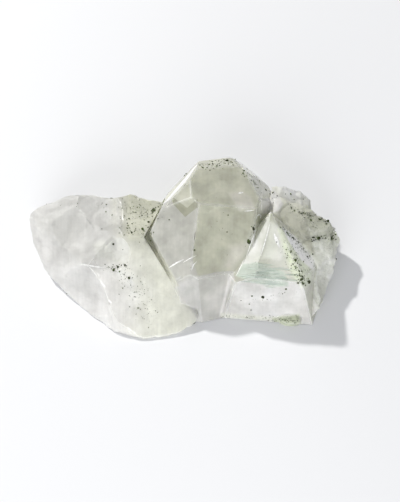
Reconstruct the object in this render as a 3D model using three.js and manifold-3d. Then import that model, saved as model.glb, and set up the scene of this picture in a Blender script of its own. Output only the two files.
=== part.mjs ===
// A cluster of intergrown chlorite quartz crystals with its broken milky root, lying on its underside.
// Millimetres, +Z up, +X to the right, +Y to the back. The origin is on the table, under the middle of
// the cluster.
import * as THREE from "three";
import { ConvexGeometry } from "three/addons/geometries/ConvexGeometry.js";
import { ImprovedNoise } from "three/addons/math/ImprovedNoise.js";
import { mergeVertices } from "three/addons/utils/BufferGeometryUtils.js";
import Module from "manifold-3d";

const wasm = await Module();
wasm.setup();

// Quartz: a six-sided prism closed by six tip faces, each of whose normals stands this far from the c axis.
const PRISM_SIDES = 6;
const TIP_FACE_ANGLE = 51.79;

// The broken surfaces: the longest facet edge, how far the fine chips stand out beside the broad swells,
// and how wide both are.
const FRACTURE_FACET = 2.7;
const CHIP_SHARE = 0.35;
const CHIP_SIZE = 2.6;
const SWELL_SIZE = 8;
const SCOOP_DETAIL = 12;

// Two points closer than this are one.
const WELD = 1e-4;
// Farther from the middle than any part of the cluster.
const FAR = 100;

// The main crystal: clear and blunt, its tip pointing up to the back.
const MAIN_CRYSTAL = {
  heart: [9.8, 7.7, 10.7],
  heading: 5,
  tilt: 30,
  spin: 10,
  girth: [15, 15, 15, 15, 21, 21],
  reach: [19, 21.7, 26, 26, 20.2, 30],
  root: 40,
  chips: [
    { turn: 1.1, lean: 28.2, meets: 14.35 },
    { turn: 213.5, lean: 52.8, meets: 13.9 },
    { turn: 77.5, lean: 36.5, meets: 16.8 },
    { turn: -64, lean: 52.3, meets: 22.65 },
    { turn: -78.8, lean: 51.5, meets: 21.6 },
  ],
  breaks: [
    [[3.9, -17.9, 14], [10.4, -16.5, 13.8], [5, -24.5, 0]],
    [[-3, -18.3, 11], [3.9, -17.9, 14], [5, -24.5, 0]],
    [[1.63, 9.17, 23.74], [2.23, 0.01, 24.92], [-3.6, 3.8, 21.5]],
    [[4.01, -0.66, 24.21], [2.15, -14.08, 16.54], [-9.66, -5.11, 15.6]],
    [[-5.81, 2.24, 21.12], [-10.52, -5.18, 15.16], [-8.98, 4.84, 8]],
    [[-8.8, -5.93, 15.59], [-1.96, -18.47, 12.4], [-8.22, -8.12, 6]],
  ],
};

// The smaller crystal on the right: steeper, with a broad face that looks to the front.
const SIDE_CRYSTAL = {
  heart: [24.4, 0.5, 19.8],
  heading: -5,
  tilt: 50,
  spin: 0,
  girth: [13.3, 12.4, 13.3, 13.3, 13.3, 15.3],
  reach: [0, 0, 0, 0, 0, 20],
  root: 60,
  chips: [],
  breaks: [
    [[24.4, 0.5, 19.8], [17.7, -10.5, 15.9], [19.4, -18.9, 15.8]],
    [[15.2, -18.8, 14.5], [33.9, -20.6, 14], [24, -24.3, 0]],
  ],
};

// The milky mass on the left: a broken crystal that kept flat faces at the front and at the back.
const MILKY_MASS = {
  corners: [
    [-46.6, 6.7, 9], [-40.4, 9.4, 11.2], [-30.8, 10, 15.2], [-24, 9.1, 15.8], [-15.4, 9.4, 16.6],
    [-5, 7.2, 15.3], [-10.2, 0.7, 18], [-12, -5.7, 19], [-4.5, -17, 14.5], [5.4, -26.4, 2.2], [-3.7, -29.4, 1],
    [-12.4, -30.9, 0.5], [-18.6, -28.9, 0.5], [-28.6, -21.5, 0.8], [-37.4, -12, 1.5], [-42.4, -7.3, 3],
    [-45, 1.5, 5], [-38, 6, -2], [-30, 8, -2], [-12, 5, -2], [-6, -16, -2], [-1, -26, -2],
    [-14, -29, -2], [-28, -20, -2], [-37, -10, -2], [-40, -2, -2], [-26, -15.2, 13.1],
  ],
  relief: 0.65,
  seed: 3,
  wear: 3,
  faces: [
    [[-11.4, -5.7, 16.7], [4.2, -25.4, 2.2], [-12.4, -30.6, 0.4]],
    [[-20.8, 4.8, 16.5], [-7, 5.95, 15.5], [-14, -1.9, 16.5]],
  ],
};

// The shallow gap between the milky mass and the main crystal: right of both walls and above the floor.
const GAP_WALLS = [
  [[-6.5, 4.74, 16.59], [-11.4, -6.6, 17.43], [-10, 1.44, 4.3]],
  [[-11.4, -6.6, 17.43], [-10, 1.44, 4.3], [4.4, -22.1, -3.52]],
];
const GAP_FLOOR = [[-9.74, -5.13, 13.4], [-2.03, -18.01, 8.6], [-4.65, -4.65, 12.6]];

// The rough matrix at the right end, with the face behind the side crystal that runs into it.
const RIGHT_MATRIX = {
  corners: [
    [24.9, 1.9, 17.5], [26.3, 9.2, 14.5], [33.2, 7.1, 13.5], [39.1, 4, 12], [42.9, 2.2, 11],
    [45.6, -2.1, 9], [43.5, -5.4, 8], [41.7, -11.4, 7], [40.1, -17.3, 6], [37.5, -1, 13.2],
    [36.4, -6.5, 13], [38.2, -23, 4], [39.9, -20.6, 6], [36.5, -24.4, 1.5], [28, -20, -2],
    [34, 6, -2], [40, 2, -2], [42, -4, -2], [38, -16, -2], [35, -23, -2], [22, 4, -2], [22, -16, -2],
  ],
  relief: 0.6,
  seed: 23,
  wear: 1,
};

// The pale knob behind the right end.
const BACK_KNOB = {
  corners: [
    [25.4, 12.6, 14], [29.4, 13.1, 15], [32.7, 12.4, 14], [36.8, 10, 12], [36, 5, 11],
    [24, 4, 14], [26, 8, -2], [34, 8, -2], [24, 2, -2], [36, 2, -2],
  ],
  relief: 0.6,
  seed: 31,
  wear: 1,
};

// The small green lump at the foot of the side crystal.
const FOOT_LUMP = {
  corners: [
    [26.2, -25, 1.5], [29.5, -26.3, 1.5], [33, -25.9, 2], [33.6, -21, 5], [27, -21, 5],
    [26, -19, -2], [34, -19, -2], [28, -25.2, -2], [32, -25.4, -2],
  ],
  relief: 0.3,
  seed: 41,
  wear: 1,
};

// Shallow shell-shaped breaks in the rough pieces: a ball here takes its cap out of the surface.
const SCOOPS = [
  { middle: [-19.2, -17.7, 26.2], radius: 14.8 },
  { middle: [-38.6, -5.9, 36.6], radius: 26 },
  { middle: [-39, -32.8, 16.8], radius: 23 },
  { middle: [-28.1, 2.7, 38], radius: 24 },
  { middle: [-41, 26.4, 13], radius: 18 },
  { middle: [-21.2, 19.4, 21], radius: 13 },
  { middle: [42.9, 2.3, 25.1], radius: 14 },
  { middle: [51, -20, 16], radius: 16 },
];

const radians = THREE.MathUtils.degToRad;
const vector = (x, y, z) => new THREE.Vector3(x, y, z);

// A closed three.js geometry as a solid that can be joined and cut.
function solidOf(geometry) {
  const bare = geometry.clone();
  bare.deleteAttribute("normal");
  bare.deleteAttribute("uv");
  const merged = mergeVertices(bare, WELD);
  const vertProperties = new Float32Array(merged.getAttribute("position").array);
  const triVerts = new Uint32Array(merged.index.array);
  return new wasm.Manifold(new wasm.Mesh({ numProp: 3, vertProperties, triVerts }));
}

// A plane with the solid behind it: its normal faces out, and it lies `offset` from the origin along it.
const facePlane = (normal, point) => ({ normal, offset: normal.dot(point) });

// The plane through three corners, facing the way that `toward` does.
function planeThrough(corners, toward = [0, 0, 1]) {
  const [p, q, r] = corners.map((corner) => vector(...corner));
  const normal = q.sub(p).cross(r.sub(p)).normalize();
  if (normal.dot(vector(...toward)) < 0) normal.negate();
  return facePlane(normal, p);
}

// Where three planes meet, or null if two of them are parallel.
function meetingPoint(p, q, r) {
  const rows = new THREE.Matrix3().set(...p.normal.toArray(), ...q.normal.toArray(), ...r.normal.toArray());
  if (Math.abs(rows.determinant()) < 1e-6) return null;
  return vector(p.offset, q.offset, r.offset).applyMatrix3(rows.invert());
}

// The convex solid behind all the planes.
function solidBehind(planes) {
  const corners = [];
  planes.forEach((p, i) =>
    planes.slice(i + 1).forEach((q, j) =>
      planes.slice(i + j + 2).forEach((r) => {
        const corner = meetingPoint(p, q, r);
        if (!corner) return;
        const inside = planes.every((plane) => plane.normal.dot(corner) <= plane.offset + WELD);
        const known = corners.some((other) => other.distanceTo(corner) < 10 * WELD);
        if (inside && !known) corners.push(corner);
      }),
    ),
  );
  return solidOf(new ConvexGeometry(corners));
}

// Everything behind the planes, as far out as the cluster reaches.
function regionBehind(planes) {
  const sides = [[1, 0, 0], [-1, 0, 0], [0, 1, 0], [0, -1, 0], [0, 0, 1], [0, 0, -1]];
  const limits = sides.map((side) => ({ normal: vector(...side), offset: FAR }));
  return solidBehind([...planes, ...limits]);
}

// One quartz crystal. `heart` is a point on its c axis. The axis points to the back, swung by `heading`
// degrees to the right and raised by `tilt` degrees. Face 0 is on the upper side, turned by `spin` degrees to
// the right, and the others follow it round. `girth` is each prism face's distance from the axis, `reach` is
// how far beyond the heart each tip face meets the axis, and `root` is how far the prism runs back from the
// heart. A chip is one more tip face: `turn` degrees round from the upper side, its normal `lean` degrees off
// the axis, and meeting the axis `meets` beyond the heart. A break is a plane through three corners.
function quartzCrystal({ heart, heading, tilt, spin, girth, reach, root, chips, breaks }) {
  const [swing, rise] = [radians(heading), radians(tilt)];
  const level = Math.cos(rise);
  const axis = vector(Math.sin(swing) * level, Math.cos(swing) * level, Math.sin(rise));
  const across = vector(Math.cos(swing), -Math.sin(swing), 0);
  const crown = across.clone().cross(axis);
  const facing = (turn, lean) => {
    const side = across.clone().multiplyScalar(Math.sin(radians(turn)));
    side.addScaledVector(crown, Math.cos(radians(turn)));
    const forward = axis.clone().multiplyScalar(Math.cos(radians(lean)));
    return forward.addScaledVector(side, Math.sin(radians(lean)));
  };
  const along = (distance) => vector(...heart).addScaledVector(axis, distance);
  const planes = [facePlane(axis.clone().negate(), along(-root))];
  for (let side = 0; side < PRISM_SIDES; side++) {
    const turn = spin + (360 / PRISM_SIDES) * side;
    const out = facing(turn, 90);
    planes.push(facePlane(out, along(0).addScaledVector(out, girth[side])));
    planes.push(facePlane(facing(turn, TIP_FACE_ANGLE), along(reach[side])));
  }
  const chipped = chips.map(({ turn, lean, meets }) => facePlane(facing(turn, lean), along(meets)));
  const broken = breaks.map((corners) => planeThrough(corners));
  return solidBehind([...planes, ...chipped, ...broken]);
}

// Halves every edge longer than `longest`, over and over, so that a flat hull can take relief.
function splitLongEdges(points, triangles, longest) {
  const middles = new Map();
  const middle = (a, b) => {
    const key = a < b ? `${a}_${b}` : `${b}_${a}`;
    if (!middles.has(key)) {
      const tooLong = points[a].distanceTo(points[b]) > longest;
      middles.set(key, tooLong ? points.push(points[a].clone().lerp(points[b], 0.5)) - 1 : null);
    }
    return middles.get(key);
  };
  const made = [];
  for (const [a, b, c] of triangles) {
    const [ab, bc, ca] = [middle(a, b), middle(b, c), middle(c, a)];
    const ring = [a, ab, b, bc, c, ca].filter((v) => v !== null);
    if (ring.length === 3) made.push([a, b, c]);
    else if (ring.length === 6) made.push([a, ab, ca], [ab, b, bc], [ca, bc, c], [ab, bc, ca]);
    else {
      // Fan from a midpoint, which keeps the pieces clear of slivers along the uncut edges.
      const start = ring.findIndex((v) => v === ab || v === bc || v === ca);
      const turned = [...ring.slice(start), ...ring.slice(0, start)];
      for (let i = 1; i < turned.length - 1; i++) made.push([turned[0], turned[i], turned[i + 1]]);
    }
  }
  const cut = [...middles.values()].some((v) => v !== null);
  return cut ? splitLongEdges(points, made, longest) : made;
}

// Wears the edges round: each point moves half of the way to the middle of its neighbours, `rounds` times.
function soften(points, triangles, rounds) {
  const neighbours = points.map(() => new Set());
  for (const [a, b, c] of triangles) {
    neighbours[a].add(b).add(c);
    neighbours[b].add(a).add(c);
    neighbours[c].add(a).add(b);
  }
  for (let round = 0; round < rounds; round++) {
    const middles = neighbours.map((near) =>
      [...near].reduce((sum, i) => sum.add(points[i]), vector(0, 0, 0)).divideScalar(near.size),
    );
    points.forEach((p, i) => p.lerp(middles[i], 0.5));
  }
}

function meshOf(points, triangles) {
  const geometry = new THREE.BufferGeometry().setFromPoints(points);
  geometry.setIndex(triangles.flat());
  return geometry;
}

const noise = new ImprovedNoise();

// A broken lump: the hull of its corners, worn a little round, with chips and swells of up to `relief`.
// `faces` are planes through three corners that cut it flat.
function brokenLump({ corners, relief, seed, wear, faces = [] }) {
  const bare = new ConvexGeometry(corners.map((corner) => vector(...corner)));
  bare.deleteAttribute("normal");
  const hull = mergeVertices(bare, WELD);
  const place = hull.getAttribute("position");
  const points = Array.from({ length: place.count }, (_, i) => vector().fromBufferAttribute(place, i));
  const index = [...hull.index.array];
  const sides = Array.from({ length: index.length / 3 }, (_, i) => index.slice(3 * i, 3 * i + 3));
  const triangles = splitLongEdges(points, sides, FRACTURE_FACET);
  soften(points, triangles, wear);
  const smooth = meshOf(points, triangles);
  smooth.computeVertexNormals();
  const normals = smooth.getAttribute("normal");
  points.forEach((p, i) => {
    const swell = noise.noise(p.x / SWELL_SIZE + seed, p.y / SWELL_SIZE, p.z / SWELL_SIZE);
    const chip = noise.noise(p.x / CHIP_SIZE, p.y / CHIP_SIZE + seed, p.z / CHIP_SIZE);
    p.addScaledVector(vector().fromBufferAttribute(normals, i), relief * (swell + CHIP_SHARE * chip));
  });
  return solidOf(meshOf(points, triangles)).intersect(regionBehind(faces.map((face) => planeThrough(face))));
}

const scoop = ({ middle, radius }) =>
  solidOf(new THREE.IcosahedronGeometry(radius, SCOOP_DETAIL).translate(...middle));

function cluster() {
  const walls = GAP_WALLS.map((wall) => planeThrough(wall, [-1, 0, 0]));
  const gap = regionBehind([...walls, planeThrough(GAP_FLOOR, [0, 0, -1])]);
  const lumps = [RIGHT_MATRIX, BACK_KNOB, FOOT_LUMP].map(brokenLump);
  const rough = lumps.reduce((whole, lump) => whole.add(lump), brokenLump(MILKY_MASS).subtract(gap));
  const broken = SCOOPS.reduce((rest, ball) => rest.subtract(scoop(ball)), rough);
  const table = facePlane(vector(0, 0, -1), vector(0, 0, 0));
  const grown = broken.add(quartzCrystal(MAIN_CRYSTAL)).add(quartzCrystal(SIDE_CRYSTAL));
  return grown.intersect(regionBehind([table]));
}

// A solid as three.js geometry, moved so that its box is centred over the origin.
function geometryOf(solid) {
  const mesh = solid.getMesh();
  const geometry = new THREE.BufferGeometry();
  geometry.setAttribute("position", new THREE.BufferAttribute(new Float32Array(mesh.vertProperties), 3));
  geometry.setIndex(new THREE.BufferAttribute(new Uint32Array(mesh.triVerts), 1));
  geometry.computeBoundingBox();
  const middle = geometry.boundingBox.getCenter(vector());
  geometry.translate(-middle.x, -middle.y, 0);
  return geometry;
}

const quartz = new THREE.MeshStandardMaterial({ color: 0xd4d6cc, roughness: 0.25, metalness: 0 });
const piece = new THREE.Mesh(geometryOf(cluster()), quartz);
piece.name = "quartz_cluster";

const group = new THREE.Group();
group.add(piece);
export default group;
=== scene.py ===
"""A cluster of chlorite quartz: a blunt main crystal, a side crystal, a milky mass and a rough matrix
grown together, dusted with green chlorite, on a pale floor in soft studio light.

The cluster is one visual piece made from the CAD solid: its triangles are evened out and cut fine, its
crystal faces stay flat, and its broken surfaces get the relief of fractured quartz. The chlorite grains,
the healed cracks with their painted glints and highlights, and the chlorite clouds are pieces of their
own. Blender units are metres; the sizes below are in millimetres, as their names or comments say.
"""

import math
import random

import bmesh
import bpy
import numpy as np
from mathutils import Matrix, Vector, noise
from mathutils.bvhtree import BVHTree
from mathutils.kdtree import KDTree


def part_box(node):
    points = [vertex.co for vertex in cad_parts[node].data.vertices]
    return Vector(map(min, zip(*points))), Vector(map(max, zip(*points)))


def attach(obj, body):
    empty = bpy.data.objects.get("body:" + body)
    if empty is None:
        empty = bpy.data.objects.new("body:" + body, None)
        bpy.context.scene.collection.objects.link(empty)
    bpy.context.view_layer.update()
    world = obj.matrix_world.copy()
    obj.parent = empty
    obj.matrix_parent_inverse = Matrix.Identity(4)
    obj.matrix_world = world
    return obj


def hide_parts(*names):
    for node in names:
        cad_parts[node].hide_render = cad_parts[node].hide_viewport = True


MM = 0.001
BODY = "root"
CLUSTER = "quartz_cluster"
QUARTZ_SLOT = "quartz"
CHLORITE_SLOT = "chlorite"

# The photograph's frame and the camera that sees it
PHOTO_WIDTH = 400
PHOTO_HEIGHT = 502
CAMERA_AIM = Vector((4.682, -1.279, 8.229))
CAMERA_ELEVATION = 60
CAMERA_DISTANCE = 340.7
CAMERA_LENS = 85
CAMERA_SENSOR = 36

# The fine mesh of the cluster
WELD = 0.06
COPLANAR_DEGREES = 0.5
FLAT_DEGREES = 1
SHARP_DEGREES = 25
CRYSTAL_FACE_AREA = 14  # mm2: a flat face larger than this grew or cleaved flat
SLIVER_GAP = 0.04  # a sliver beside such a face belongs to it if its corners lie this near the face's plane
SLIVER_ROUNDS = 3
COARSE_EDGE = 2.4
EVENING_ROUNDS = 6
FINE_CUTS = 3

# Relief of the broken and cleaved surfaces
RELIEF_SEED = 1  # not 0, which would take the clock's time and change the relief with each run
FRACTURES = ((5.5, 0.22), (2.1, 0.16))  # size of the chips and how far they lean
MASS_CALM = 0.25  # the relief of the milky mass as a share of the matrix's
CLEAVED_WAVE = 0.05  # height and length of the gentle waves on the mass's cleaved faces
CLEAVED_WAVE_LENGTH = 4
ROUGHENING_HEIGHT = 0.03
ROUGHENING_PER_MM = 1.6
FLAT_BASE = (0.3, 1.6)  # relief grows from none to full between these heights
CHIP_REACH = 1.1  # how far from a sharp edge a chip reaches
CHIP_SPACING = 1.9
CHIP_THRESHOLD = 0.12
EDGE_WEAR = 0.06
MASS_CHIP = 0.8
CRYSTAL_CHIP = 0.7
GROOVE_FOOT = (4.59, -17.64)  # where the groove left of the main crystal meets the table, in plan
GROOVE_SLANT = -0.405  # how far the groove goes to the right for each millimetre to the back

# Base colours of the quartz, linear
MILK = (0.83, 0.82, 0.80)
GREY_MILK = (0.75, 0.74, 0.71)
SLATE_MILK = (0.67, 0.665, 0.64)
DISH_GREY = (0.82, 0.82, 0.77)
ROSE = (0.94, 0.92, 0.90)
CREAM = (0.89, 0.89, 0.80)
GREY_GREEN = (0.82, 0.82, 0.70)
PRISM_GREY = (0.66, 0.655, 0.61)
PALE_GREY = (0.86, 0.85, 0.83)
PALE_GREEN = (0.85, 0.85, 0.77)
MINT = (0.95, 0.97, 0.88)
SEA_GREEN = (0.76, 0.83, 0.75)
OLIVE = (0.58, 0.58, 0.47)
OLIVE_GREY = (0.68, 0.68, 0.58)
SHADE_GREEN = (0.68, 0.69, 0.58)
LEAF_GREEN = (0.84, 0.89, 0.72)
MOSS_GREEN = (0.56, 0.60, 0.44)
ROSY_GREY = (0.84, 0.825, 0.75)
EDGE_WHITE = (0.97, 0.97, 0.94)
DUST_GREEN = (0.16, 0.19, 0.075)

# Where the quartz has which look: name, pixel in the photograph, radius, base colour, clarity, chlorite dust
ZONES = (
    ("left of the mass", (55, 225), 10, MILK, 0.3, 0.02),
    ("dish of the mass", (90, 235), 8, SLATE_MILK, 0.3, 0.02),
    ("foot of the mass", (85, 290), 9, PALE_GREY, 0.35, 0),
    ("top of the mass", (140, 212), 7, GREY_GREEN, 0.3, 0.5),
    ("cleaved front of the mass", (152, 295), 9, CREAM, 0.2, 0.1),
    ("lower front of the mass", (116, 300), 7, ROSE, 0.15, 0.03),
    ("left prism face", (175, 235), 6, PALE_GREEN, 0.4, 0),
    ("tip", (222, 183), 7, GREY_GREEN, 0.5, 0.15),
    ("strip along the tip", (215, 163), 3, GREY_GREEN, 0.4, 0.6),
    ("upper prism face", (222, 235), 9, GREY_GREEN, 0.55, 0.05),
    ("broken front, left", (190, 290), 5, MILK, 0.5, 0),
    ("broken front, right", (213, 298), 5, MILK, 0.5, 0),
    ("right shoulder", (258, 190), 6, GREY_GREEN, 0.5, 0.4),
    ("side crystal's left face", (254, 243), 3, MINT, 0.5, 0.05),
    ("side crystal's middle", (270, 245), 4, MINT, 0.5, 0.05),
    ("side crystal's green face", (299, 265), 5, PALE_GREEN, 0.3, 0.35),
    ("side crystal's front", (262, 300), 8, ROSE, 0.35, 0.03),
    ("top of the matrix", (290, 213), 6, GREY_GREEN, 0.35, 0.4),
    ("right end of the matrix", (325, 225), 5, SHADE_GREEN, 0.3, 0.5),
    ("lower matrix", (318, 262), 7, MINT, 0.25, 0.15),
    ("foot of the matrix", (308, 303), 5, PALE_GREEN, 0.25, 0.25),
    ("knob", (294, 194), 4, EDGE_WHITE, 0.2, 0.1),
)
ZONE_TURN = 6  # how sharply a zone's hold falls off on faces turned away from it
ZONE_REST = 0.01  # the share of its hold that a zone keeps on faces turned right away

# Parts of the surface with a look of their own, a few of them painted light or painted shade: name, outline
# as pixels in the photograph, look as above, and how far the look fades over the outline, in pixels. The mesh
# is cut along outlines that don't fade.
PATCHES = (
    ("dusted corner of the mass", ((113, 198), (125, 192), (164, 203), (155, 220), (146, 237), (132, 240),
                                   (118, 236), (112, 220)), GREY_GREEN, 0.3, 0.4, 3),
    ("top left of the mass", ((40, 212), (62, 199), (80, 194), (112, 196), (113, 232), (90, 250), (62, 246),
                              (36, 226)), SLATE_MILK, 0.25, 0.05, 6),
    ("shade beside the dusted corner", ((113, 193), (124, 190), (124, 236), (113, 234)),
     PRISM_GREY, 0.3, 0.1, 5),
    ("dish", ((93, 244), (103, 240), (113, 243), (119, 252), (113, 259), (97, 258)), DISH_GREY, 0.3, 0.1, 3),
    ("rim of the dish", ((113, 236), (122, 239), (129, 248), (128, 258), (118, 262), (111, 261), (120, 256),
                         (122, 249), (116, 242)), DISH_GREY, 0.25, 0, 1.2),
    # The rim beside the tip: partly the rim's own pale quartz, partly a painted highlight for the light that
    # sparkles along it.
    ("white rim beside the tip with painted highlight", ((198, 163), (190.5, 171), (163, 204), (166.5, 204), (172, 196.5), (184, 183.5),
                            (190, 176)), EDGE_WHITE, 0.15, 0, 0),
    ("tip zone", ((198.5, 168), (240.5, 166.4), (243.6, 171.5), (259, 200), (255, 210), (240, 211.4),
                  (222, 196), (198.6, 206.4), (185, 217.1), (172.9, 203.6), (170.5, 199), (187.5, 205),
                  (189.3, 178)), GREY_GREEN, 0.45, 0.1, 0),
    ("light facet", ((189.3, 180.7), (172.9, 197.1), (187.1, 207.9)), OLIVE_GREY, 0.3, 0.15, 0),
    ("chevron", ((172.9, 197.1), (187.1, 207.9), (197.5, 198.5), (198.6, 206.4), (185, 217.1),
                 (172.9, 203.6)), OLIVE, 0.45, 0.1, 0),
    ("left prism face", ((163, 204), (171, 199), (172.9, 203.6), (185, 217.1), (198.6, 206.4), (192.1, 260),
                         (181, 268), (176, 283), (147, 237)), PRISM_GREY, 0.35, 0, 0),
    ("clearer front", ((198.6, 206.4), (205, 199.5), (211, 194.5), (218, 192), (226, 191.6), (231, 198),
                       (240, 211.4), (254, 212.5), (251, 226), (240, 259), (233, 271), (219, 271.5),
                       (198.5, 276), (192.1, 260)), GREY_GREEN, 0.5, 0.03, 0),
    ("rosy wedge", ((229, 193), (241, 191), (251, 197), (255, 209), (240, 211.4), (231, 198)),
     ROSY_GREY, 0.4, 0, 1.5),
    ("rosy foot of the front", ((230, 246), (249, 242), (243, 257), (234, 270), (222, 268)),
     ROSY_GREY, 0.4, 0, 4),
    ("fracture left of the front", ((168, 268), (183, 260), (192.1, 258), (198, 276), (190, 277),
                                    (176, 284)), PRISM_GREY, 0.35, 0, 0),
    ("right of the tip", ((243, 161), (277, 186), (277, 200), (272, 212), (258, 214), (259, 200),
                          (243.6, 171.5)), CREAM, 0.35, 0.3, 1),
    ("broken front, left", ((176, 285), (198, 276), (204, 322), (199, 322)), MILK, 0.4, 0, 1),
    ("broken front, right", ((198, 276), (219, 271.5), (233, 271), (235, 279), (221, 318), (203, 322)),
     GREY_MILK, 0.4, 0, 0),
    # A darker olive band painted along the groove beside the mass: painted shade.
    ("painted shade in the groove beside the mass", ((145, 235), (150, 233), (156, 246), (170, 270), (179, 286), (175, 287),
                                (161, 264), (150, 247)), OLIVE_GREY, 0.3, 0, 1),
    ("band left of the side crystal", ((232, 277), (222, 315), (219, 317), (229, 275)), ROSE, 0.3, 0, 1),
    ("side crystal's left face", ((270.7, 212.9), (269, 226), (260, 258), (252, 274), (235.7, 275.7),
                                  (245.7, 258.6)), MINT, 0.28, 0.03, 0),
    ("side crystal's streaks", ((271, 222), (279, 226), (286, 252), (280, 260), (262, 258)), MINT, 0.3, 0, 2),
    ("side crystal's cloud", ((235.7, 275.7), (243, 264), (258, 263), (272, 268), (284, 272), (289, 286),
                              (272, 287), (247, 281)), SEA_GREEN, 0.35, 0, 1),
    # The side crystal's green face: its own chlorite green, painted lighter than it is as painted light
    # against the shade it lies in.
    ("side crystal's green face", ((278, 228), (284, 228), (297, 244), (306, 262), (312, 272), (311, 284),
                                   (302, 287), (292, 276), (286, 256)), LEAF_GREEN, 0.15, 0.4, 2),
    # The side crystal's rim lies in shade: its pale colour is painted near white, as painted light.
    ("side crystal's rim with painted light", ((281, 225), (297, 238), (314.3, 260), (313, 270), (301, 260), (288, 240)),
     EDGE_WHITE, 0.02, 0.05, 1),
    # The notch behind the side crystal lies in shade: it is painted a light milky colour, as painted light.
    ("painted light behind the side crystal", ((263, 201), (275, 190), (283, 204), (279, 212), (271, 213), (262, 214)),
     MILK, 0.3, 0.05, 1),
    ("smooth side of the matrix", ((274, 214), (284, 208), (297, 214), (312, 238), (315, 256), (300, 240),
                                   (283, 225)), OLIVE_GREY, 0.35, 0.1, 2),
    ("foot of the front", ((221, 313), (275, 317), (298, 314), (299, 321), (276, 321), (220, 320)),
     PALE_GREEN, 0.2, 0.3, 1.5),
    ("foot lump", ((273, 318), (299, 315), (302, 327), (276, 328)), MOSS_GREEN, 0.2, 0.4, 1.5),
)
CUT_REACH = 7  # how near to an outline, in pixels, a face is cut

# Single chlorite grains: pixel in the photograph and size in millimetres
SINGLE_GRAINS = (
    ((66.6, 205), 0.4), ((77.5, 203.6), 0.3), ((95.9, 206.8), 0.45), ((106.3, 204.4), 0.4),
    ((102, 229), 0.35), ((129, 218.5), 0.5), ((131.7, 233), 0.45), ((153.8, 209.8), 1), ((152.5, 212), 0.6),
    ((148.4, 222), 0.7), ((142.6, 229), 0.8), ((144, 231), 0.5), ((113.3, 244), 0.6), ((113.7, 270), 0.8),
    ((124.8, 265), 0.7), ((129, 278), 0.65), ((118, 267), 0.6), ((147, 297), 0.45), ((155.6, 311), 0.4),
    ((138, 308), 0.4), ((227, 160.6), 0.8), ((224, 162), 0.5), ((199, 168), 0.8), ((265.8, 190), 0.6),
    ((250, 196), 0.4), ((228, 215), 0.35), ((227, 232), 0.4), ((194.6, 250), 0.5), ((253.6, 229), 0.8),
    ((254.5, 231), 0.5), ((249, 242), 0.9), ((308.9, 282), 1.1), ((303, 284), 0.9), ((295.5, 260), 0.8),
    ((306, 279), 0.8), ((301, 280), 0.7), ((310.7, 220), 0.6), ((328, 221), 0.8), ((313, 237.6), 0.8),
    ((319, 238), 0.9), ((332, 238), 0.6), ((290.7, 194), 0.5), ((262.9, 297), 0.8), ((252, 296), 0.45),
    ((249.5, 304), 0.4), ((251, 310), 0.35), ((246, 313.5), 0.4), ((241, 300.5), 0.35), ((286, 289), 0.5),
)
# Strewn chlorite grains: first and last pixel of the strip, its half width in pixels, count, and the
# least and most size in millimetres
STREWN_GRAINS = (
    ((201, 165.5), (238, 161.5), 4, 150, 0.15, 0.45),
    ((246, 171), (276, 199), 5, 90, 0.15, 0.45),
    ((281, 226), (295.5, 240), 2, 55, 0.2, 0.45),
    ((295.5, 240), (313, 262), 2, 55, 0.2, 0.45),
    ((286, 240), (306, 282), 9, 260, 0.1, 0.4),
    ((298, 276), (309, 284), 4.5, 35, 0.25, 0.65),
    ((256, 222), (249, 243), 2.5, 30, 0.2, 0.5),
    ((288, 208), (329, 222), 3, 90, 0.12, 0.45),
    ((298, 214), (332, 232), 9, 70, 0.1, 0.28),
    ((311, 240), (334, 237), 3, 70, 0.15, 0.5),
    ((118, 210), (157, 214), 11, 120, 0.15, 0.4),
    ((122, 228), (150, 234), 9, 70, 0.15, 0.4),
    ((105, 267), (127, 268), 5, 34, 0.15, 0.4),
    ((122, 266), (152, 318), 13, 190, 0.1, 0.32),
    ((60, 205), (106, 206), 3, 10, 0.15, 0.3),
    ((246, 300), (285, 300), 9, 26, 0.15, 0.3),
    ((262, 318), (298, 322), 3, 120, 0.1, 0.35),
    ((220, 316), (255, 317), 1.5, 70, 0.12, 0.25),
    ((212, 205), (236, 250), 14, 20, 0.12, 0.25),
    ((286, 192), (312, 205), 6, 7, 0.15, 0.35),
    ((240, 262), (312, 300), 16, 90, 0.08, 0.2),
)
HIDDEN_GRAINS = 420
HIDDEN_GRAIN_SIZES = (0.15, 0.6)
GRAIN_CLUMP = 7  # the size of the patches that hold the grains on the sides away from the camera
BURIED_SHARE = 0.2
BURIED_DEPTH = (0.1, 0.6)
GRAIN_REACH = 0.8  # the furthest a grain reaches from its middle, as a share of its size

# The chlorite clouds' wisps: first and last pixel of the strip they are strewn over and its half width,
# their count, and their least and most length and half width, in pixels
WISPS = ((242, 276), (281, 276), 11, 34, (7, 20), (0.25, 0.55))
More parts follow.
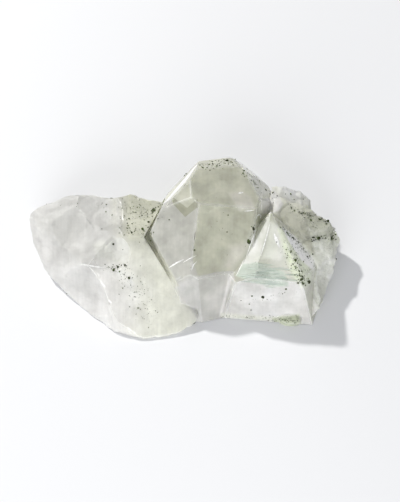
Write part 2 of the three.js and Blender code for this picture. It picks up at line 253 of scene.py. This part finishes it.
# Healed cracks with painted glints, bright edges with painted highlights and cloudy wisps that reach the
# surface:
# name, colour, clarity, roughness, wisps strewn among them, and then the half width and the pixels in the
# photograph of each line
RIBBONS = (
    ("cracks_and_painted_glints", (0.97, 0.97, 0.95), 0.15, 0.25, None, (
        (0.7, ((79, 263.7), (94, 266.4), (107.7, 268))),
        (0.8, ((238.2, 193.2), (243.4, 192.4))),
        (0.5, ((244.3, 211.2), (250, 210.8), (254.6, 210))),
        (0.6, ((256.6, 219), (256.8, 216.4), (259, 214.4), (261.2, 215.6), (260, 218.6))),
        (0.9, ((273.8, 195.6), (274.4, 200), (275, 205))),
        (0.35, ((262, 190), (261.8, 200), (261.4, 211))),
        (0.9, ((168.6, 267.9), (175.7, 263.4), (183.6, 259.4))),
        (0.4, ((183, 262.6), (190, 258.4), (196.4, 255.4))),
        (0.5, ((191.4, 270.6), (193.4, 265), (196.8, 261.4))),
        (0.6, ((270.2, 222), (267, 235), (260.8, 256))),
        (1.5, ((274, 233), (276.4, 240), (279.6, 247.6))),
        (1.6, ((288.6, 236.4), (296, 243.4), (303, 256))),
        (0.5, ((256.4, 228.6), (251, 243), (246, 257.4))),
        (0.4, ((235.8, 276.4), (240, 268), (244, 260))),
    )),
    ("chlorite_clouds", (0.64, 0.72, 0.65), 0.4, 0.35, WISPS, (
        (0.8, ((243, 277.6), (256, 276.4), (271, 277.8))),
    )),
)
RIBBON_STEP = 0.8  # pixels between the cross-sections of a ribbon
RIBBON_THICKNESS = 0.16
RIBBON_RISE = 0.02  # how far a ribbon stands out of the quartz

QUARTZ_IOR = 1.544
QUARTZ_ABSORPTION = (0.8, 0.82, 0.72, 1)
ABSORPTION_DENSITY = 30
MATRIX_STRIPES = (24, 30)  # the matrix's stripes grow from none to full between these X
BROKEN_ROUGHNESS = 0.42
GRAIN_SEED = 5
RIBBON_SEED = 8
LIGHT_BOUNCES = 32
INNER_BOUNCES = 24
SOFT_BOUNCES = 8


def metres(point):
    return Vector(point) * MM


def smooth_step(low, high, value):
    share = min(max((value - low) / (high - low), 0), 1)
    return share * share * (3 - 2 * share)


def put(mesh_object):
    bpy.context.scene.collection.objects.link(mesh_object)
    return mesh_object


# Camera, floor and light


def camera_frame():
    """The camera's place and its right, up and back directions."""
    lift = math.radians(CAMERA_ELEVATION)
    back = Vector((0, -math.cos(lift), math.sin(lift)))
    up = Vector((0, math.sin(lift), math.cos(lift)))
    return metres(CAMERA_AIM + back * CAMERA_DISTANCE), Vector((1, 0, 0)), up, back


def photo_ray(pixel):
    """The ray from the camera through a pixel of the photograph."""
    place, right, up, back = camera_frame()
    focal = CAMERA_LENS / CAMERA_SENSOR * PHOTO_HEIGHT
    across = pixel[0] - PHOTO_WIDTH / 2
    above = PHOTO_HEIGHT / 2 - pixel[1]
    return place, (right * across + up * above - back * focal).normalized()


def add_camera():
    place, right, up, back = camera_frame()
    data = bpy.data.cameras.new("camera")
    data.lens = CAMERA_LENS
    data.sensor_width = CAMERA_SENSOR
    data.clip_start = 0.01
    camera = put(bpy.data.objects.new("camera", data))
    camera.matrix_world = Matrix.Translation(place) @ Matrix((right, up, back)).transposed().to_4x4()
    bpy.context.scene.camera = camera


def add_area_light(name, azimuth, elevation, distance, size, watts, colour):
    """An area light that looks at the cluster from an azimuth (0 is behind it, 90 its left) and elevation."""
    turn, lift = math.radians(azimuth), math.radians(elevation)
    direction = Vector((-math.sin(turn) * math.cos(lift), math.cos(turn) * math.cos(lift), math.sin(lift)))
    data = bpy.data.lights.new(name, "AREA")
    data.shape = "DISK"
    data.size = size * MM
    data.energy = watts
    data.color = colour
    light = put(bpy.data.objects.new(name, data))
    light.location = metres(direction * distance)
    light.rotation_euler = direction.to_track_quat("Z", "Y").to_euler()


def add_lights():
    world = bpy.data.worlds.new("studio")
    world.use_nodes = True
    background = world.node_tree.nodes["Background"]
    background.inputs["Color"].default_value = (0.97, 0.98, 1, 1)
    background.inputs["Strength"].default_value = 0.45
    bpy.context.scene.world = world
    add_area_light("key", azimuth=45, elevation=43, distance=1000, size=60, watts=7.2,
                   colour=(1, 0.99, 0.97))
    add_area_light("fill", azimuth=165, elevation=18, distance=600, size=500, watts=2.7,
                   colour=(0.98, 0.99, 1))
    cycles = bpy.context.scene.cycles
    cycles.max_bounces = LIGHT_BOUNCES
    cycles.glossy_bounces = INNER_BOUNCES
    cycles.transmission_bounces = INNER_BOUNCES
    cycles.diffuse_bounces = SOFT_BOUNCES


def add_floor():
    size, drop = 3000, 0.1
    mesh = bpy.data.meshes.new("floor")
    corners = [metres((x * size / 2, y * size / 2, -drop)) for x, y in ((-1, -1), (1, -1), (1, 1), (-1, 1))]
    mesh.from_pydata(corners, [], [(0, 1, 2, 3)])
    floor = put(bpy.data.objects.new("floor", mesh))
    material = bpy.data.materials.new("floor")
    material.use_nodes = True
    shader = material.node_tree.nodes["Principled BSDF"]
    shader.inputs["Base Color"].default_value = (0.82, 0.825, 0.84, 1)
    shader.inputs["Roughness"].default_value = 0.7
    mesh.materials.append(material)


# The fine mesh of the cluster


def flip_long_diagonals(bm):
    """Turns each edge inside a flat stretch where the other diagonal makes better triangles."""
    for edge in list(bm.edges):
        if edge.calc_face_angle(math.pi) > math.radians(FLAT_DEGREES):
            continue
        a, b = edge.verts
        c, d = (next(v for v in face.verts if v not in edge.verts) for face in edge.link_faces)
        facing_angles = (a.co - c.co).angle(b.co - c.co, 0) + (a.co - d.co).angle(b.co - d.co, 0)
        if facing_angles <= math.pi or any(c in other.verts for other in d.link_edges):
            continue
        normal = edge.link_faces[0].normal
        side_a = (c.co - d.co).cross(a.co - d.co).dot(normal)
        side_b = (c.co - d.co).cross(b.co - d.co).dot(normal)
        if side_a * side_b < 0 and min(abs(side_a), abs(side_b)) > (0.01 * MM) ** 2:
            bmesh.utils.edge_rotate(edge, False)
    bm.normal_update()


def slide_inside_faces(bm):
    """Evens the spacing of the points inside flat faces, which stay flat."""
    flat = math.radians(FLAT_DEGREES)
    inside = [v for v in bm.verts if all(e.calc_face_angle(math.pi) < flat for e in v.link_edges)]
    bmesh.ops.smooth_vert(bm, verts=inside, factor=0.5, use_axis_x=True, use_axis_y=True, use_axis_z=True)
    bm.normal_update()


def mark_crystal_faces(bm):
    """Marks the large flat faces, and the slivers beside them that lie in the same plane."""
    crystal = bm.faces.layers.int.new("crystal_face")
    planes = {}
    for face in bm.faces:
        if face.calc_area() > CRYSTAL_FACE_AREA * MM * MM:
            planes[face] = (face.calc_center_median(), face.normal.copy())
    for _ in range(SLIVER_ROUNDS):
        for edge in bm.edges:
            for face, other in (edge.link_faces, reversed(edge.link_faces)):
                if face in planes or other not in planes:
                    continue
                middle, normal = planes[other]
                if all(abs((vert.co - middle).dot(normal)) < SLIVER_GAP * MM for vert in face.verts):
                    planes[face] = planes[other]
    for face in planes:
        face[crystal] = 1


def evened_cluster():
    """The CAD solid's surface in even, small triangles, with a layer that marks the crystal faces."""
    bm = bmesh.new()
    bm.from_mesh(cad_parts[CLUSTER].data)
    bmesh.ops.remove_doubles(bm, verts=bm.verts, dist=0.003 * MM)
    bmesh.ops.dissolve_degenerate(bm, edges=bm.edges, dist=WELD * MM)
    bmesh.ops.dissolve_limit(bm, angle_limit=math.radians(COPLANAR_DEGREES), verts=bm.verts, edges=bm.edges)
    mark_crystal_faces(bm)
    bmesh.ops.triangulate(bm, faces=bm.faces, ngon_method="BEAUTY")
    for _ in range(EVENING_ROUNDS):
        long_edges = [e for e in bm.edges if e.calc_length() > COARSE_EDGE * MM * 4 / 3]
        bmesh.ops.subdivide_edges(bm, edges=long_edges, cuts=1)
        bmesh.ops.triangulate(bm, faces=[f for f in bm.faces if len(f.verts) > 3])
        bm.normal_update()
        flip_long_diagonals(bm)
        slide_inside_faces(bm)
    return bm


def mark_crests(bm):
    """Marks the points on sharp outward edges, where quartz chips."""
    crest = bm.verts.layers.int.new("crest")
    for edge in bm.edges:
        if edge.calc_face_angle_signed(0) > math.radians(SHARP_DEGREES):
            for vert in edge.verts:
                vert[crest] = 1


def vertex_numbers(mesh, name):
    values = np.zeros(len(mesh.vertices))
    mesh.attributes[name].data.foreach_get("value", values)
    return values


def vertex_places(mesh):
    """The mesh's points in millimetres, one row each."""
    places = np.zeros(len(mesh.vertices) * 3)
    mesh.vertices.foreach_get("co", places)
    return places.reshape(-1, 3) / MM


def broken_share(mesh):
    """For each point, how much of the surface round it is broken rather than a flat crystal face."""
    faces = len(mesh.polygons)
    grown = np.zeros(faces, dtype=np.int32)
    mesh.attributes["crystal_face"].data.foreach_get("value", grown)
    corners = np.zeros(faces * 3, dtype=np.int32)
    mesh.polygons.foreach_get("vertices", corners)
    broken = np.zeros(len(mesh.vertices))
    touching = np.zeros(len(mesh.vertices))
    np.add.at(broken, corners, np.repeat(1 - grown, 3))
    np.add.at(touching, corners, 1)
    return broken / touching


def crest_nearness(mesh, places):
    """For each point, 1 on a sharp outward edge, falling to 0 at CHIP_REACH from it."""
    crests = np.flatnonzero(vertex_numbers(mesh, "crest"))
    tree = KDTree(len(crests))
    for index in crests:
        tree.insert(places[index], index)
    tree.balance()
    distances = np.array([tree.find(place)[2] for place in places])
    return np.clip(1 - distances / CHIP_REACH, 0, 1) ** 2


def left_of_groove(place):
    """Whether a point belongs to the milky mass, left of the groove between it and the main crystal."""
    return place.x < GROOVE_FOOT[0] + (place.y - GROOVE_FOOT[1]) * GROOVE_SLANT


def fracture(place, cell, lean):
    """The relief of broken quartz: a mosaic of flat chips about `cell` across, each leaning its own way."""
    bent = place + noise.noise_vector(place / (2 * cell)) * cell
    site = noise.voronoi(bent / cell)[1][0]
    slope = noise.cell_vector(site * 9) - Vector((0.5, 0.5, 0.5))
    return (bent / cell - site).dot(slope) * cell * lean


def relief(place, broken, crest):
    """How far a point of the real surface stands out from the CAD solid, in millimetres."""
    in_mass = left_of_groove(place)
    height = broken * sum(fracture(place, cell, lean) for cell, lean in FRACTURES)
    if in_mass:
        height *= MASS_CALM
    height += broken * ROUGHENING_HEIGHT * noise.noise(place * ROUGHENING_PER_MM)
    if in_mass:
        height += CLEAVED_WAVE * noise.noise(place / CLEAVED_WAVE_LENGTH)
    chip = max(0, noise.noise(place / CHIP_SPACING) - CHIP_THRESHOLD)
    height -= crest * (EDGE_WEAR + (MASS_CHIP if in_mass else CRYSTAL_CHIP) * chip)
    return height * smooth_step(*FLAT_BASE, place.z)


def shape_surface(mesh, broken, crest):
    """Moves the points along their normals by the relief, and keeps them inside the CAD solid's box."""
    places = vertex_places(mesh)
    normals = np.zeros(places.size)
    mesh.vertices.foreach_get("normal", normals)
    heights = [relief(Vector(p), b, c) for p, b, c in zip(places, broken, crest)]
    moved = places + normals.reshape(-1, 3) * np.array(heights)[:, None]
    low, high = (np.array(corner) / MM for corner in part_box(CLUSTER))
    mesh.vertices.foreach_set("co", (np.clip(moved, low, high) * MM).ravel())
    mesh.update()


def zone_looks(tree, places, normals):
    """The colour, clarity and dust at each face corner, blended from near ZONES that face its way."""
    weights = np.zeros((len(places), len(ZONES)))
    for column, (_, pixel, radius, *_) in enumerate(ZONES):
        middle, facing = tree.ray_cast(*photo_ray(pixel))[:2]
        distances = np.linalg.norm(places - np.array(middle / MM), axis=1)
        turned = np.clip(normals @ np.array(facing), 0, 1) ** ZONE_TURN
        weights[:, column] = np.exp(-(distances / radius) ** 2) * (ZONE_REST + turned)
    weights += 1e-30
    weights /= weights.sum(axis=1, keepdims=True)
    return weights @ np.array([(*colour, clarity, dust) for _, _, _, colour, clarity, dust in ZONES])


def pixels_of(places):
    """Where points given in millimetres show in the photograph."""
    eye, right, up, back = camera_frame()
    offsets = places - np.array(eye) / MM
    scale = CAMERA_LENS / CAMERA_SENSOR * PHOTO_HEIGHT / -(offsets @ np.array(back))
    across, above = (offsets @ np.array(direction) * scale for direction in (right, up))
    return np.c_[PHOTO_WIDTH / 2 + across, PHOTO_HEIGHT / 2 - above]


def distance_to_side(pixels, start, end):
    """How far each pixel lies from the straight line between two pixels."""
    side = np.subtract(end, start)
    offsets = pixels - np.array(start)
    share = np.clip(offsets @ side / (side @ side), 0, 1)
    return np.linalg.norm(offsets - share[:, None] * side, axis=1)


def depth_inside(pixels, outline):
    """How far each pixel lies inside an outline; outside, it is negative."""
    nearest = np.full(len(pixels), np.inf)
    inside = np.zeros(len(pixels), dtype=bool)
    for start, end in zip(outline, (*outline[1:], outline[0])):
        nearest = np.minimum(nearest, distance_to_side(pixels, start, end))
        side = np.subtract(end, start)
        offsets = pixels - np.array(start)
        crosses = (offsets[:, 1] > 0) != (offsets[:, 1] > side[1])
        if side[1]:
            inside ^= crosses & (offsets[:, 0] < offsets[:, 1] * side[0] / side[1])
    return np.where(inside, nearest, -nearest)


def cut_along_patches(bm):
    """Cuts the faces that the camera sees along the outlines of the PATCHES that don't fade."""
    for _, outline, _, _, _, fade in PATCHES:
        if fade:
            continue
        for start, end in zip(outline, (*outline[1:], outline[0])):
            seen = [face for face in bm.faces if face.normal.dot(camera_frame()[3]) > 0]
            middles = pixels_of(np.array([face.calc_center_median() for face in seen]) / MM)
            near = distance_to_side(middles, start, end) < CUT_REACH
            faces = [face for face, wanted in zip(seen, near) if wanted]
            edges = dict.fromkeys(edge for face in faces for edge in face.edges)
            verts = dict.fromkeys(vert for face in faces for vert in face.verts)
            eye, one_way = photo_ray(start)
            across = one_way.cross(photo_ray(end)[1]).normalized()
            geometry = [*verts, *edges, *faces]
            bmesh.ops.bisect_plane(bm, geom=geometry, dist=WELD * MM / 4, plane_co=eye, plane_no=across)
    bmesh.ops.triangulate(bm, faces=[face for face in bm.faces if len(face.verts) > 3])


def paint_patches(looks, places, normals):
    """Blends the looks of the PATCHES into the faces inside their outlines that face the camera."""
    middles = places.reshape(-1, 3, 3).mean(axis=1)
    pixels = np.repeat(pixels_of(middles), 3, axis=0)
    facing = normals @ np.array(camera_frame()[3]) > 0.05
    for _, outline, colour, clarity, dust, fade in PATCHES:
        share = np.clip(depth_inside(pixels, outline) / max(2 * fade, 1e-6) + 0.5, 0, 1) * facing
        looks += share[:, None] * (np.array((*colour, clarity, dust)) - looks)


def corner_places_and_normals(mesh):
    corners = np.zeros(len(mesh.loops), dtype=np.int32)
    mesh.loops.foreach_get("vertex_index", corners)
    normals = np.zeros(len(mesh.polygons) * 3)
    mesh.polygons.foreach_get("normal", normals)
    return vertex_places(mesh)[corners], np.repeat(normals.reshape(-1, 3), 3, axis=0)


def store(mesh, name, kind, domain, field, values):
    attribute = mesh.attributes.new(name, kind, domain)
    attribute.data.foreach_set(field, np.ascontiguousarray(values, dtype=np.float32).ravel())


def surface_of(mesh):
    tree_source = bmesh.new()
    tree_source.from_mesh(mesh)
    tree = BVHTree.FromBMesh(tree_source)
    tree_source.free()
    return tree


def add_cluster():
    bm = evened_cluster()
    cut_along_patches(bm)
    bmesh.ops.subdivide_edges(bm, edges=bm.edges, cuts=FINE_CUTS, use_grid_fill=True)
    bmesh.ops.triangulate(bm, faces=[f for f in bm.faces if len(f.verts) > 3])
    mark_crests(bm)
    mesh = bpy.data.meshes.new("quartz")
    bm.to_mesh(mesh)
    bm.free()
    places, normals = corner_places_and_normals(mesh)
    looks = zone_looks(surface_of(mesh), places, normals)
    paint_patches(looks, places, normals)
    store(mesh, "tint", "FLOAT_COLOR", "CORNER", "color", np.c_[looks[:, :3], np.ones(len(looks))])
    store(mesh, "clarity", "FLOAT", "CORNER", "value", looks[:, 3])
    store(mesh, "dust", "FLOAT", "CORNER", "value", looks[:, 4])
    broken = broken_share(mesh)
    crest = crest_nearness(mesh, vertex_places(mesh))
    store(mesh, "broken", "FLOAT", "POINT", "value", broken)
    calm = [MASS_CALM if left_of_groove(Vector(place)) else 1 for place in vertex_places(mesh)]
    # How near each point lies to a sharp edge: the quartz material paints a highlight there and roughens it
    # as wear.
    store(mesh, "edge", "FLOAT", "POINT", "value", crest * calm)
    shape_surface(mesh, broken, crest)
    for name in ("crest", "crystal_face"):
        mesh.attributes.remove(mesh.attributes[name])
    mesh.polygons.foreach_set("use_smooth", [True] * len(mesh.polygons))
    mesh.set_sharp_from_angle(angle=math.radians(SHARP_DEGREES))
    mesh.materials.append(quartz_material())
    piece = put(bpy.data.objects.new("quartz", mesh))
    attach(piece, BODY)
    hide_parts(CLUSTER)
    return piece


# Chlorite grains, healed cracks with painted glints, and clouds


class Heap:
    """Closed bodies that are gathered into one mesh."""

    def __init__(self):
        self.points = []
        self.faces = []

    def add(self, points, faces):
        start = len(self.points)
        self.points += points
        self.faces += [tuple(start + index for index in face) for face in faces]

    def piece(self, name, material, slot):
        mesh = bpy.data.meshes.new(name)
        mesh.from_pydata(self.points, [], self.faces)
        mesh.materials.append(material)
        piece = put(bpy.data.objects.new(name, mesh))
        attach(piece, BODY)
        return piece


def add_plate(heap, chance, middle, normal, width):
    """One chlorite crystal: an irregular six-sided plate whose faces taper towards its top."""
    half_thickness = width * chance.uniform(0.12, 0.25) * MM
    start = chance.uniform(0, math.tau)
    reach = [width / 2 * chance.uniform(0.7, 1.1) * MM for _ in range(6)]
    turn = normal.to_track_quat("Z", "Y")
    points = []
    for height, taper in ((-half_thickness, 1), (half_thickness, chance.uniform(0.7, 0.95))):
        for corner in range(6):
            angle = start + math.tau * corner / 6
            across = reach[corner] * taper
            corner_place = Vector((across * math.cos(angle), across * math.sin(angle), height))
            points.append(middle + turn @ corner_place)
    sides = [(i, (i + 1) % 6, 6 + (i + 1) % 6, 6 + i) for i in range(6)]
    heap.add(points, [(5, 4, 3, 2, 1, 0), (6, 7, 8, 9, 10, 11), *sides])


def add_grain(heap, chance, place, normal, size):
    """One to three chlorite plates grown across each other, half sunk or buried, and clear of the table."""
    if chance.random() < BURIED_SHARE:
        place = place - normal * chance.uniform(*BURIED_DEPTH) * MM
    if place.z < size * GRAIN_REACH * MM:
        return
    plates = 1 if size < 0.35 else chance.choice((2, 3))
    for _ in range(plates):
        lean = Vector([chance.gauss(0, 0.5) for _ in range(3)])
        add_plate(heap, chance, place, (normal + lean).normalized(), size * chance.uniform(0.9, 1.3))


def strewn_pixels(chance, first, last, half_width, count):
    """Pixels strewn over the strip between two pixels, densest along its middle."""
    first, last = Vector(first), Vector(last)
    for _ in range(count):
        middle = first.lerp(last, chance.random())
        yield middle + Vector((chance.gauss(0, half_width / 2), chance.gauss(0, half_width / 2)))


def add_hidden_grains(heap, chance, mesh):
    """Strews grains in patches over the sides that the photograph doesn't show."""
    areas = np.zeros(len(mesh.polygons))
    mesh.polygons.foreach_get("area", areas)
    limits = np.cumsum(areas)
    towards_camera = camera_frame()[3]
    left = HIDDEN_GRAINS
    while left:
        face = mesh.polygons[int(np.searchsorted(limits, chance.random() * limits[-1]))]
        hidden = face.normal.dot(towards_camera) < 0.1 and face.normal.z > -0.5
        patch = noise.noise(face.center / (GRAIN_CLUMP * MM))
        if hidden and patch > chance.uniform(-0.1, 0.5):
            add_grain(heap, chance, face.center, face.normal, chance.uniform(*HIDDEN_GRAIN_SIZES))
            left -= 1


def add_grains(cluster_mesh):
    chance = random.Random(GRAIN_SEED)
    tree = surface_of(cluster_mesh)
    heap = Heap()
    wanted = list(SINGLE_GRAINS)
    for first, last, half_width, count, least, most in STREWN_GRAINS:
        for pixel in strewn_pixels(chance, first, last, half_width, count):
            wanted.append((pixel, least + (most - least) * chance.random() ** 2))
    for pixel, size in wanted:
        place, normal = tree.ray_cast(*photo_ray(pixel))[:2]
        if place:
            add_grain(heap, chance, place, normal, size)
    add_hidden_grains(heap, chance, cluster_mesh)
    heap.piece("chlorite_grains", chlorite_material(), CHLORITE_SLOT)


def add_ribbon(heap, chance, tree, half_width, pixels):
    """A thin tapering layer that runs along the quartz's surface, under a line of pixels."""
    middles = []
    for start, end in zip(pixels, pixels[1:]):
        start, end = Vector(start), Vector(end)
        steps = math.ceil((end - start).length / RIBBON_STEP)
        middles += [start.lerp(end, step / steps) for step in range(steps)]
    middles.append(Vector(pixels[-1]))
    last = len(middles) - 1
    points = []
    for index, middle in enumerate(middles):
        along = middles[min(index + 1, last)] - middles[max(index - 1, 0)]
        taper = 0.25 + 0.75 * math.sin(math.pi * index / last)
        aside = Vector((-along.y, along.x)).normalized() * half_width * taper * chance.uniform(0.75, 1.15)
        sides = [tree.ray_cast(*photo_ray(middle + offset))[:2] for offset in (-aside, aside)]
        points += [place + normal * RIBBON_RISE * MM for place, normal in sides]
        points += [place - normal * RIBBON_THICKNESS * MM for place, normal in reversed(sides)]
    faces = [(3, 2, 1, 0), tuple(4 * last + corner for corner in range(4))]
    for index in range(last):
        for corner in range(4):
            following = (corner + 1) % 4
            faces.append((4 * index + corner, 4 * index + following, 4 * index + 4 + following,
                          4 * index + 4 + corner))
    heap.add(points, faces)


def strewn_lines(chance, first, last, half_height, count, lengths, half_widths):
    """Short level lines strewn over the strip between two pixels, as half widths and pixels."""
    for start in strewn_pixels(chance, first, last, half_height, count):
        end = start + Vector((chance.uniform(*lengths), chance.uniform(-1, 2)))
        yield chance.uniform(*half_widths), (start, end)


def add_ribbons(cluster_mesh):
    chance = random.Random(RIBBON_SEED)
    tree = surface_of(cluster_mesh)
    for name, colour, clarity, roughness, wisps, lines in RIBBONS:
        heap = Heap()
        strewn = strewn_lines(chance, *wisps) if wisps else ()
        for half_width, pixels in (*lines, *strewn):
            add_ribbon(heap, chance, tree, half_width, pixels)
        heap.piece(name, ribbon_material(name, colour, clarity, roughness), QUARTZ_SLOT)


# Materials


class Nodes:
    """A material's node tree, with short calls for the nodes that this scene uses."""

    def __init__(self, material):
        material.use_nodes = True
        self.tree = material.node_tree
        self.shader = self.tree.nodes["Principled BSDF"]
        self.output = self.tree.nodes["Material Output"]

    def add(self, kind, **settings):
        made = self.tree.nodes.new(kind)
        for name, value in settings.items():
            setattr(made, name, value)
        return made

    def feed(self, socket, value):
        if isinstance(value, bpy.types.NodeSocket):
            self.tree.links.new(value, socket)
        else:
            socket.default_value = value

    def attribute(self, name, output="Fac"):
        return self.add("ShaderNodeAttribute", attribute_name=name).outputs[output]

    def place(self, stretch=(1, 1, 1)):
        """The point being shaded, in metres. `stretch` draws a pattern made with it out along X, Y and Z."""
        mapping = self.add("ShaderNodeMapping")
        self.feed(mapping.inputs["Vector"], self.add("ShaderNodeTexCoord").outputs["Object"])
        mapping.inputs["Scale"].default_value = [1 / factor for factor in stretch]
        return mapping.outputs["Vector"]

    def noise(self, size, detail=3, roughness=0.55, distortion=0, vector=None):
        """Cloudy noise from 0 to 1 whose spots are about `size` millimetres across."""
        made = self.add("ShaderNodeTexNoise")
        self.feed(made.inputs["Vector"], vector or self.place())
        made.inputs["Scale"].default_value = 1 / (size * MM)
        made.inputs["Detail"].default_value = detail
        made.inputs["Roughness"].default_value = roughness
        made.inputs["Distortion"].default_value = distortion
        return made.outputs["Fac"]

    def math(self, operation, *values, clamp=False):
        made = self.add("ShaderNodeMath", operation=operation, use_clamp=clamp)
        for socket, value in zip(made.inputs, values):
            self.feed(socket, value)
        return made.outputs[0]

    def spread(self, value, low, high, new_low=0, new_high=1):
        """The value taken from the range low to high to the new range, and kept in it."""
        made = self.add("ShaderNodeMapRange")
        for socket, given in zip(made.inputs, (value, low, high, new_low, new_high)):
            self.feed(socket, given)
        return made.outputs["Result"]

    def mix(self, share, first, second, blend="MIX"):
        made = self.add("ShaderNodeMix", data_type="RGBA", blend_type=blend)
        self.feed(made.inputs["Factor"], share)
        self.feed(made.inputs["A"], first)
        self.feed(made.inputs["B"], second)
        return made.outputs["Result"]

    def bump(self, height, depth, strength, normal=None):
        """Bends the normal as relief `depth` millimetres deep would."""
        made = self.add("ShaderNodeBump")
        self.feed(made.inputs["Height"], height)
        self.feed(made.inputs["Strength"], strength)
        made.inputs["Distance"].default_value = depth * MM
        if normal:
            self.feed(made.inputs["Normal"], normal)
        return made.outputs["Normal"]


def quartz_material():
    """Clear to milky quartz. Colour, clarity and brokenness come from the mesh, and clouds vary them."""
    material = bpy.data.materials.new("quartz")
    nodes = Nodes(material)
    shader = nodes.shader.inputs
    cloud = nodes.noise(size=9, detail=3)
    mottle = nodes.noise(size=1.2, detail=3)
    shade = nodes.spread(cloud, 0.3, 0.7, 0.93, 1.04)
    fine_shade = nodes.spread(mottle, 0.3, 0.7, 0.96, 1.03)
    growth_lines = nodes.noise(size=0.7, detail=2, vector=nodes.place(stretch=(1, 14, 14)))
    line_shade = nodes.spread(growth_lines, 0.4, 0.65, 0.97, 1.02)
    shades = nodes.math("MULTIPLY", nodes.math("MULTIPLY", shade, fine_shade), line_shade)
    tint = nodes.mix(1, nodes.attribute("tint", "Color"), shades, "MULTIPLY")
    # Near sharp edges the colour turns whiter: a painted highlight for the light that edges catch.
    edge = nodes.math("MULTIPLY", nodes.attribute("edge"), 0.35)
    whole = nodes.mix(edge, tint, (*EDGE_WHITE, 1))
    specks = nodes.spread(nodes.noise(size=0.55, detail=2), 0.56, 0.62)
    patchy = nodes.spread(nodes.noise(size=3, detail=2), 0.35, 0.6)
    dusted = nodes.math("MULTIPLY", nodes.attribute("dust"), nodes.math("MULTIPLY", specks, patchy))
    dust_share = nodes.math("MULTIPLY", dusted, 0.6)
    nodes.feed(shader["Base Color"], nodes.mix(dust_share, whole, (*DUST_GREEN, 1)))
    haze = nodes.spread(nodes.noise(size=6, detail=3), 0.35, 0.65, -0.1, 0.1)
    nodes.feed(shader["Transmission Weight"], nodes.math("ADD", nodes.attribute("clarity"), haze, clamp=True))
    broken = nodes.attribute("broken")
    smudge = nodes.spread(nodes.noise(size=2.5, detail=5), 0.4, 0.7, 0.05, 0.14)
    worn = nodes.math("MULTIPLY_ADD", nodes.attribute("edge"), 0.35, smudge)
    nodes.feed(shader["Roughness"], nodes.math("MULTIPLY_ADD", broken, BROKEN_ROUGHNESS, worn))
    grain = nodes.bump(nodes.noise(size=0.45, detail=4), 0.12, nodes.math("MULTIPLY_ADD", broken, 0.5, 0.04))
    layers = nodes.noise(size=0.5, detail=3, vector=nodes.place(stretch=(12, 1, 1)))
    across = nodes.add("ShaderNodeSeparateXYZ")
    nodes.feed(across.inputs["Vector"], nodes.place())
    in_matrix = nodes.spread(across.outputs["X"], *(x * MM for x in MATRIX_STRIPES))
    nodes.feed(shader["Normal"], nodes.bump(layers, 0.2, nodes.math("MULTIPLY", broken, in_matrix), grain))
    shader["IOR"].default_value = QUARTZ_IOR
    shader["Subsurface Weight"].default_value = 1
    shader["Subsurface Radius"].default_value = (1, 1, 1)
    shader["Subsurface Scale"].default_value = 0.8 * MM
    absorption = nodes.add("ShaderNodeVolumeAbsorption")
    absorption.inputs["Color"].default_value = QUARTZ_ABSORPTION
    absorption.inputs["Density"].default_value = ABSORPTION_DENSITY
    nodes.feed(nodes.output.inputs["Volume"], absorption.outputs["Volume"])
    return material


def chlorite_material():
    """Dark olive chlorite plates, some of them greener, with a dull pearly shine."""
    material = bpy.data.materials.new("chlorite")
    nodes = Nodes(material)
    shader = nodes.shader.inputs
    kind = nodes.spread(nodes.noise(size=1.5, detail=1), 0.4, 0.65)
    green = nodes.mix(kind, (0.030, 0.036, 0.013, 1), (0.085, 0.13, 0.03, 1))
    nodes.feed(shader["Base Color"], green)
    nodes.feed(shader["Roughness"], nodes.spread(nodes.noise(size=0.2, detail=2), 0.3, 0.7, 0.5, 0.7))
    shader["Specular IOR Level"].default_value = 0.3
    return material


def ribbon_material(name, colour, clarity, roughness):
    """A thin layer with wisps in it: bright for the healed cracks with their painted glints and edge
    highlights, cloudy for the chlorite clouds.
    """
    material = bpy.data.materials.new(name)
    nodes = Nodes(material)
    shader = nodes.shader.inputs
    nodes.feed(shader["Base Color"], (*colour, 1))
    haze = nodes.spread(nodes.noise(size=0.6, detail=4), 0.35, 0.65, -0.2, 0.2)
    nodes.feed(shader["Transmission Weight"], nodes.math("ADD", haze, clarity, clamp=True))
    nodes.feed(shader["Roughness"], roughness)
    return material


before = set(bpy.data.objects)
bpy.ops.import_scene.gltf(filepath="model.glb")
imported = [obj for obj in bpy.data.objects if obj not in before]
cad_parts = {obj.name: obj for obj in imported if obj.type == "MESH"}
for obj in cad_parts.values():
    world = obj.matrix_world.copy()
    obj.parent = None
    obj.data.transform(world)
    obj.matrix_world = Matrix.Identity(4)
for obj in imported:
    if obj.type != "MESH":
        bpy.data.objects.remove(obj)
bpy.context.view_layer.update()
noise.seed_set(RELIEF_SEED)
bpy.context.scene.view_settings.view_transform = "Standard"
add_camera()
add_lights()
add_floor()
cluster = add_cluster()
add_grains(cluster.data)
add_ribbons(cluster.data)
